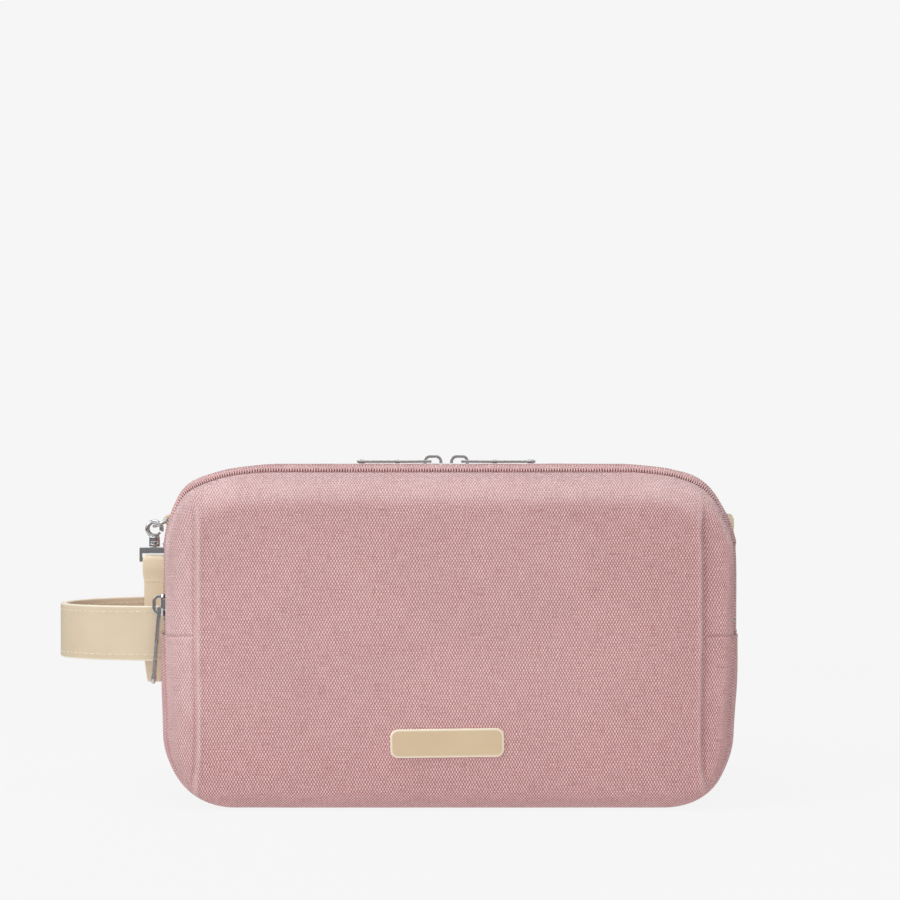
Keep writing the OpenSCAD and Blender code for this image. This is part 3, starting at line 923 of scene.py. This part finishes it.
def make_gusset():
    soft, hem = (6, 2.2), (1.4, 1.3)
    low = strip("bottom_canvas", LEFT_SEAM - GIRTH, RIGHT_SEAM, -PANEL_Y - 2.4, BACK_SEAM_Y, (7, 2.8), (5, 1.2),
                ends=(0.1, 0.1), seed=21, meets=(STRIP_Y, BACK_SEAM_Y))
    left = strip("left_end_canvas", LEFT_END, LEFT_SEAM, STRIP_Y, BACK_SEAM_Y, hem, soft,
                 ends=(0.6, -0.15), seed=22)
    right = strip("right_end_canvas", RIGHT_SEAM, RIGHT_END, STRIP_Y, BACK_SEAM_Y, hem, soft,
                  ends=(-0.15, 0.5), seed=23)
    middle = strip("middle_canvas", RIGHT_END, LEFT_END, STRIP_Y, MAIN_Y0, hem, hem, seed=24)
    rear = strip("rear_canvas", RIGHT_END, LEFT_END, MAIN_Y1, BACK_SEAM_Y, hem, soft, seed=25)
    nodes = ("bottom_gusset", "end_panel_left", "end_panel_right", "middle_strip", "rear_strip")
    for piece, node in zip((low, left, right, middle, rear), nodes):
        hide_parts(node)
        if piece is rear:
            rear_fold(piece)
        else:
            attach(piece, "bag")


def thin_strip(name, s0, s1, y0, y1, inset, thickness, cloth, leaning=False):
    """A strip without stuffing: a lining or a zipper's tape."""
    return strip(name, s0, s1, y0, y1, (1, 0), (1, 0), inset, thickness, cloth, puffed=False, leaning=leaning)


LINING_IN = 4.3
DIVIDER_T = 1.1


def make_inside():
    """Linings of the main compartment, and the divider in front of it."""
    y0 = DIVIDER_Y + 2
    look = (LINING_IN, LINING_T, LINING)
    low = thin_strip("low_lining_cloth", LEFT_END - GIRTH, RIGHT_END, y0, PANEL_Y, *look)
    top = thin_strip("top_lining_cloth", RIGHT_END, LEFT_END, y0, MAIN_Y0 - 2.2, *look)
    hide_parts("main_lining")
    rear = thin_strip("rear_lining_cloth", RIGHT_END, LEFT_END, MAIN_Y1 + 2.2, PANEL_Y, *look)
    x, z = panel_grid(3.4, fold=100)
    points = (x, DIVIDER_Y + 0.15 + 0.35 * ripple(x, z, 38, 8), z)
    divider = panel_cloth("divider_cloth", points, FORWARDS, DIVIDER_T, LINING)
    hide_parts("divider_panel")
    for piece in (low, top, divider):
        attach(piece, "bag")
    rear_fold(rear)


# -------- zippers

TOOTH_PITCH = 1.15
TOOTH_L = 3.3
TOOTH_HALF_W = 0.31 * TOOTH_PITCH
TOOTH_TOP_IN = 1.35
TOOTH_LOW_IN = 3.0
TOOTH_CROSS = 0.35
# Over the top, the front zipper leans towards the front: rise to its middle, and slope
LEAN_RISE = 0.45
LEAN_SLOPE = 0.33


def lean(y, z):
    """How far the leaning front zipper stands out beyond its flat place."""
    return (LEAN_RISE + LEAN_SLOPE * (y - FRONT_ZIP_Y)) * smooth(110, 140, z)


def tooth(s, y_near, side, leaning):
    """One turn of coil: a short rounded bar from the chain's middle out to the tape."""
    x, z, nx, nz = (float(v[0]) for v in outline(np.array([s])))
    along = np.array([-nz, 0, nx])
    outward = np.array([nx, 0, nz])
    middle = np.array([x, 0, z]) - outward * (TOOTH_TOP_IN + TOOTH_LOW_IN) / 2
    half_n = (TOOTH_LOW_IN - TOOTH_TOP_IN) / 2
    verts = []
    rings = ((0, 0.55), (0.35, 1), (TOOTH_L - 0.7, 1), (TOOTH_L, 0.6))
    for y, scale in rings:
        for k in range(8):
            angle = math.pi / 8 + math.pi * k / 4
            up = half_n * scale * math.sin(angle) * 1.08
            if leaning:
                up += float(lean(y_near + side * y, z))
            verts.append(middle + along * (TOOTH_HALF_W * scale * math.cos(angle) * 1.08)
                         + outward * up + np.array([0, y_near + side * y, 0]))
    return list(settled(verts)), tube_faces(len(rings), 8)


def coil(name, zip_y, side, s0, s1):
    """One strand of a zipper: its turns along the outline, on side -1 (front) or 1 (rear)."""
    shift = 0 if side < 0 else TOOTH_PITCH / 2
    places = np.arange(s0 + 0.6 + shift, s1 - 0.6, TOOTH_PITCH)
    leaning = zip_y == FRONT_ZIP_Y
    return joined(name, [tooth(s, zip_y - side * TOOTH_CROSS, side, leaning) for s in places], COIL)


TAPE_IN = 3.0
TAPE_T = 0.55


def tape(name, s0, s1, y0, y1, leaning=False):
    return thin_strip(name, s0, s1, y0, y1, TAPE_IN, TAPE_T, TAPE, leaning)


def make_zippers():
    stop_s = right_s(box_mm("zipper_end_stops")[1][2])
    front, main, chain = (RIGHT_SEAM, LEFT_SEAM), (RIGHT_END, LEFT_END), (stop_s, GIRTH - stop_s)
    pieces = {
        "front_tape": tape("front_zip_tape", *front, PANEL_SEAM_Y + 0.4, FRONT_ZIP_Y - 0.5, True),
        "front_tape_rear": tape("front_zip_tape_rear", *front, FRONT_ZIP_Y + 0.5, STRIP_Y + 2, True),
        "main_tape_front": tape("main_zip_tape_front", *main, MAIN_Y0 - 2, MAIN_Y - 0.5),
        "main_tape_rear": tape("main_zip_tape_rear", *main, MAIN_Y + 0.5, MAIN_Y1 + 2),
        "front_coil": coil("front_zip_coil", FRONT_ZIP_Y, -1, *chain),
        "front_coil_rear": coil("front_zip_coil_rear", FRONT_ZIP_Y, 1, *chain),
        "main_coil_front": coil("main_zip_coil_front", MAIN_Y, -1, *main),
        "main_coil_rear": coil("main_zip_coil_rear", MAIN_Y, 1, *main),
    }
    hidden = {
        "front_tape": ("front_tape_flap", "front_tape_ends"),
        "front_coil": ("front_coil_flap", "front_coil_ends"),
    }
    for key, piece in pieces.items():
        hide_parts(*hidden.get(key, (key,)))
        if key in hidden:
            front_fold(piece)
        elif key.startswith("main") and key.endswith("rear"):
            rear_fold(piece)
        else:
            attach(piece, "bag")


# -------- straps and label

STRAP_EDGE = 0.45


def rounded_ring(half_w, half_h, corner, arc=9, long=40, short=3):
    """Points (across, up) round a rectangle with round corners, from the end of its right side.

    arc is the number of points in a corner, and long and short are those in a side with its ends.
    """
    w, h = half_w - corner, half_h - corner
    arcs = []
    for k, centre in enumerate(((w, h), (-w, h), (-w, -h), (w, -h))):
        angles = np.radians(90 * k + np.linspace(0, 90, arc))
        arcs.append(np.array(centre) + corner * np.stack([np.cos(angles), np.sin(angles)], axis=1))
    ring = []
    for k, here in enumerate(arcs):
        t = np.linspace(0, 1, (long, short)[k % 2])[1:-1, None]
        ring += [here, here[-1] + (arcs[(k + 1) % 4][0] - here[-1]) * t]
    return np.concatenate(ring)


def strap(name, path, normals, widths, thickness, cloth, closed=False):
    """A strap along a path of points, with its outer side along normals and a width at each point."""
    path, normals = np.asarray(path, float), np.asarray(normals, float)
    if closed:
        tangents = np.roll(path, -1, axis=0) - np.roll(path, 1, axis=0)
    else:
        tangents = np.gradient(path, axis=0)
    sides = unit(np.cross(tangents, normals))
    section = rounded_ring(max(widths) / 2, thickness / 2, STRAP_EDGE, 5, 12, 2)
    steps = np.concatenate([[0], np.cumsum(np.linalg.norm(np.diff(path, axis=0), axis=1))])
    verts, uv = [], []
    for point, side, normal, width, along in zip(path, sides, normals, widths, steps):
        for a, b in section:
            verts.append(point + side * a * width / max(widths) + normal * b)
            uv.append((along, a))
    faces = tube_faces(len(path), len(section), closed)
    return new_object(name, verts, faces, cloth, np.array(uv))


HANDLE_SAG = 0.5


def handle_line(out, dive=4):
    """Points and normals of the handle's loop, out millimetres inside its outer face.

    Its ends run dive millimetres into the bag.
    """
    low, high = box_mm("carry_handle")
    middle = (low + high) / 2
    half_y, reach = (high[1] - low[1]) / 2 - out, -HALF_W - low[0] - out
    angle = np.linspace(math.pi / 2, 1.5 * math.pi, 90)
    c, s = np.cos(angle), np.sin(angle)
    points = np.stack([reach * c - HALF_W, middle[1] + half_y * s, middle[2] - HANDLE_SAG * c * c], axis=1)
    normals = unit(np.stack([c / reach, s / half_y, 0 * c], axis=1))
    inwards = np.array([dive, 0, 0])
    # the front end turns back inside the bag
    points = np.concatenate([points[:1] + inwards, points[:-1], points[-1:] + inwards, points[-1:]])
    return points, np.concatenate([normals[:1], normals, normals[-1:]])


HANDLE_PLY = 1.34
HANDLE_SEAM_IN = 2.6


def make_handle():
    plies = (("handle_outer", "carry_handle", 0.62), ("handle_inner", "carry_handle_lining", 1.98))
    for name, node, out in plies:
        path, normals = handle_line(out)
        ply = strap(name, path, normals, [BAND_W] * len(path), HANDLE_PLY, BAND_LEATHER)
        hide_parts(node)
        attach(ply, "bag")
    groups = []
    for row in (-1, 1):
        for out, facing in ((-0.02, 1), (2.66, -1)):
            path, normals = handle_line(out, dive=0)
            path[:, 2] += row * (BAND_W / 2 - HANDLE_SEAM_IN)
            groups += stitches_along(path, facing * normals, 2.5, 0.8)
    thread = joined("handle_stitches", groups, THREAD)
    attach(thread, "bag")


LOOP_PLY = 1.3
LOOP_HEAD = 9.5
LOOP_TAPER = 12


def make_hang_loop():
    """A strip folded round the swivel's bar, with its two plies sewn together below its head."""
    low, high = box_mm("hang_loop")
    mid_x, mid_y = (low[0] + high[0]) / 2, (low[1] + high[1]) / 2
    ply = LOOP_PLY
    bar = (high[1] - low[1]) / 2 - ply / 2
    bar_z = high[2] - bar - ply / 2
    foot_z = low[2] + ply / 2 + 0.75
    bottom = ply / 2 + 0.04

    def half_gap(z):
        return bottom + (bar + 0.15 - bottom) * smooth(bar_z - LOOP_HEAD, bar_z - 2, z)

    heights = np.linspace(foot_z, bar_z, 60)
    path = [(mid_x, mid_y - half_gap(z), z) for z in heights]
    path += [(mid_x, mid_y - (bar + 0.15) * math.cos(a), bar_z + bar * math.sin(a))
             for a in np.linspace(0, math.pi, 14)[1:-1]]
    path += [(mid_x, mid_y + half_gap(z), z) for z in heights[::-1]]
    path += [(mid_x, mid_y + bottom * math.cos(a), foot_z - bottom * math.sin(a))
             for a in np.linspace(0, math.pi, 8)[1:-1]]
    path = np.array(path, float)
    ahead = np.roll(path, -1, axis=0) - np.roll(path, 1, axis=0)
    normals = unit(np.cross(np.array([1.0, 0, 0]), ahead))
    full = high[0] - low[0]

    def width_at(z):
        narrow = full - 1.3 * (1 - smooth(bar_z - LOOP_HEAD - 2, bar_z - LOOP_HEAD + 5, z))
        narrow -= 2.4 * np.clip((z - bar_z + 0.6) / (high[2] - bar_z), 0, 1.2) ** 2
        return narrow - 3.2 * np.clip((low[2] + LOOP_TAPER - z) / LOOP_TAPER, 0, 1) ** 1.3

    widths = [float(width_at(z)) for z in path[:, 2]]
    loop = strap("hang_loop_strip", path, normals, widths, ply, LEATHER_WITH_PAINTED_LIGHT, closed=True)
    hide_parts("hang_loop")
    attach(loop, "hang_loop")
    groups = []
    row_z = bar_z - LOOP_HEAD - 0.4
    for side in (-1, 1):
        y = mid_y + side * (half_gap(row_z) + ply / 2 + 0.02)
        normal = (0, side, 0)
        row = [(mid_x + t, y, row_z) for t in np.linspace(-full / 2 + 1.2, full / 2 - 1.2, 9)]
        groups += stitches_along(row, [normal] * len(row), 1.9, 0.35)
    thread = joined("hang_loop_stitches", groups, THREAD)
    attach(thread, "hang_loop")


LABEL_T = 1.15
LABEL_CORNER = 3.4
LABEL_LEFT = 1.0
LABEL_TILT = math.radians(0.8)


def make_label():
    """A leather patch that lies along the front canvas, with pale cut edges."""
    low, high = box_mm("label_patch")
    half, middle = (high - low) / 2, (high + low) / 2
    # inset from the edge, and height over the canvas
    profile = [(0, -0.5), (0, 0.55), (0.06, 0.82), (0.2, 1.02), (0.45, 1.13)]
    profile += [(inset, LABEL_T) for inset in (0.8, 1.4, 2.2, 3.1, 4.2, 5.3, half[2] - 0.15)]
    verts, uv = [], []
    for inset, height in profile:
        ring = rounded_ring(half[0] - inset, half[2] - inset, max(LABEL_CORNER - inset, 0.05))
        a, b = ring[:, 0], ring[:, 1]
        x = middle[0] - LABEL_LEFT + a * math.cos(LABEL_TILT) - b * math.sin(LABEL_TILT)
        z = middle[2] + a * math.sin(LABEL_TILT) + b * math.cos(LABEL_TILT)
        verts.append(np.stack([x, PANEL_SEAM_Y - front_out(x, z) - height, z], axis=1))
        uv.append(np.stack([a, np.full_like(a, BAND_W / 2 - 0.15 - inset * 0.55)], axis=1))
    faces = tube_faces(len(profile), len(verts[0]))
    label = new_object("label_leather", np.concatenate(verts), faces, LABEL_LEATHER, np.concatenate(uv))
    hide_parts("label_patch")
    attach(label, "bag")


# -------- hardware


def body_name(node):
    """The name of the body that a CAD node rides on."""
    parent = frame["nodes"][node].parent
    return next(name for name, body in frame["bodies"].items() if body is parent)


def softened(node, name, cloth, voxel=0.16, rounds=3):
    """A CAD node's shape with its edges worn round, which stands for the node."""
    made = bpy.data.objects.new(name, frame["nodes"][node].data.copy())
    bpy.context.collection.objects.link(made)
    remesh = made.modifiers.new("remesh", "REMESH")
    remesh.mode = "VOXEL"
    remesh.voxel_size = voxel * MM
    wear = made.modifiers.new("wear", "SMOOTH")
    wear.factor = 0.5
    wear.iterations = rounds
    bpy.context.view_layer.update()
    done = bpy.data.meshes.new_from_object(made.evaluated_get(bpy.context.evaluated_depsgraph_get()))
    made.modifiers.clear()
    made.data = done
    done.materials.clear()
    done.materials.append(cloth)
    done.shade_smooth()
    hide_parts(node)
    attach(made, body_name(node))
    return made


def make_hardware():
    for node, name, voxel in (
        ("main_slider_left", "slider_left", 0.16),
        ("main_slider_right", "slider_right", 0.16),
        ("side_slider", "slider_side", 0.16),
        ("main_pull_left", "pull_left", 0.15),
        ("main_pull_right", "pull_right", 0.15),
        ("side_pull", "pull_side", 0.15),
        ("d_ring", "d_ring_wire", 0.15),
        ("snap_hook", "snap_hook_body", 0.13),
        ("hook_gate", "snap_hook_gate", 0.1),
        ("swivel_ring", "swivel_frame", 0.15),
        ("zipper_end_stops", "zip_stops", 0.14),
    ):
        softened(node, name, METAL, voxel)
    for node, name in (("ring_tab", "ring_tab_leather"), ("end_tab", "end_tab_leather")):
        softened(node, name, LEATHER_WITH_PAINTED_LIGHT, 0.2, 5)
    for node, cloth in (("gate_pin", METAL), ("gate_spring", METAL), ("base_board", BOARD)):
        kept = frame["nodes"][node]
        kept.data.materials.clear()
        kept.data.materials.append(cloth)
        if cloth is METAL:
            kept.data.shade_smooth()


make_front()
make_back()
make_gusset()
make_inside()
make_zippers()
make_handle()
make_hang_loop()
make_label()
make_hardware()


# -------- stage, light and camera


FLOOR_R = 700
FLOOR_GLOW = 0.877
BACKGROUND = (0.921, 0.921, 0.921)
GLOSS_LEVELS = ((0, 0.1), (1, 0.25), (0.4, 0.04), (0.47, 0.12), (0.52, 0.52), (0.6, 0.8), (0.74, 0.95))
SOFT_LEVELS = ((0, 0.1), (1, 1.0), (0.42, 0.35), (0.62, 0.7))
SOFT_STRENGTH = 0.42


def paper_floor():
    """A round sheet of pale paper, as bright as the surroundings that the camera sees."""
    made, graph = material("paper_floor")
    graph.shade({
        "Base Color": (0.05, 0.05, 0.05),
        "Roughness": 1,
        "Specular IOR Level": 0,
        "Emission Color": (1, 1, 1),
        "Emission Strength": FLOOR_GLOW,
    })
    graph.bump(graph.noise(graph.place(), 300, 2), 0.00002)
    rim = [(FLOOR_R * math.cos(a), FLOOR_R * math.sin(a), 0) for a in np.linspace(0, 2 * math.pi, 97)[:-1]]
    new_object("paper_floor", rim, [tuple(range(len(rim)))], made)


def area_light(name, place, aim, size, power, mirrored=True):
    """A soft light in watts and metres. With mirrored=False, metal doesn't reflect it."""
    data = bpy.data.lights.new(name, "AREA")
    data.shape = "RECTANGLE"
    data.size, data.size_y = size
    data.energy = power
    light = bpy.data.objects.new(name, data)
    bpy.context.collection.objects.link(light)
    light.location = place
    light.visible_glossy = mirrored
    direction = np.array(aim, float) - np.array(place, float)
    yaw = math.atan2(direction[0], -direction[1])
    pitch = math.atan2(math.hypot(direction[0], direction[1]), -direction[2])
    light.rotation_euler = (pitch, 0, math.pi + yaw)


def world_light():
    """Soft surrounding light: even for cloth, and with dark bands for metal to reflect."""
    world = bpy.data.worlds.new("studio")
    bpy.context.scene.world = world
    world.use_nodes = True
    world.node_tree.nodes.clear()
    graph = Graph(world.node_tree)
    up = graph.split(graph.nodes.new("ShaderNodeTexCoord").outputs["Generated"])[2]
    rays = graph.nodes.new("ShaderNodeLightPath").outputs

    def levels(stops):
        """Greys by height, each at a place from 0, straight down, to 1, straight up."""
        made = graph.nodes.new("ShaderNodeValToRGB")
        graph.link(graph.plus(graph.times(up, 0.5), 0.5), made.inputs[0])
        for k, (at, level) in enumerate(stops):
            stop = made.color_ramp.elements[k] if k < 2 else made.color_ramp.elements.new(at)
            stop.position = at
            stop.color = (level, level, level, 1)
        return made.outputs[0]

    def sky(colour, strength):
        made = graph.nodes.new("ShaderNodeBackground")
        graph.feed(made.inputs[0], colour)
        graph.feed(made.inputs[1], strength)
        return made.outputs[0]

    def either(factor, a, b):
        made = graph.nodes.new("ShaderNodeMixShader")
        for slot, value in enumerate((factor, a, b)):
            graph.link(value, made.inputs[slot])
        return made.outputs[0]

    seen, soft = sky(BACKGROUND, 1), sky(levels(SOFT_LEVELS), SOFT_STRENGTH)
    gloss = sky(levels(GLOSS_LEVELS), 1)
    unseen = either(rays["Is Glossy Ray"], soft, gloss)
    out = graph.nodes.new("ShaderNodeOutputWorld")
    graph.link(either(rays["Is Camera Ray"], unseen, seen), out.inputs[0])


paper_floor()
world_light()
BAG_MIDDLE = (0, 0, 0.07)
area_light("key", (-1.3, -0.9, 1.05), BAG_MIDDLE, (0.8, 0.8), 9.5)
area_light("fill", (-0.15, -1.9, 0.4), BAG_MIDDLE, (1.5, 1.0), 13, mirrored=False)
area_light("rear", (0.4, 1.9, 0.7), BAG_MIDDLE, (1.5, 1.0), 11, mirrored=False)
area_light("top", (-0.15, -0.3, 1.4), (0, 0, 0.1), (1.0, 0.7), 8)

camera_data = bpy.data.cameras.new("camera")
camera_data.lens = 88.65
camera_data.sensor_width = 36
camera_data.clip_start = 0.01
camera = bpy.data.objects.new("camera", camera_data)
bpy.context.collection.objects.link(camera)
camera.location = (0.0002, -1.0, 0.1549)
camera.rotation_euler = (math.pi / 2, 0, 0)
bpy.context.scene.camera = camera
bpy.context.scene.view_settings.view_transform = "Standard"
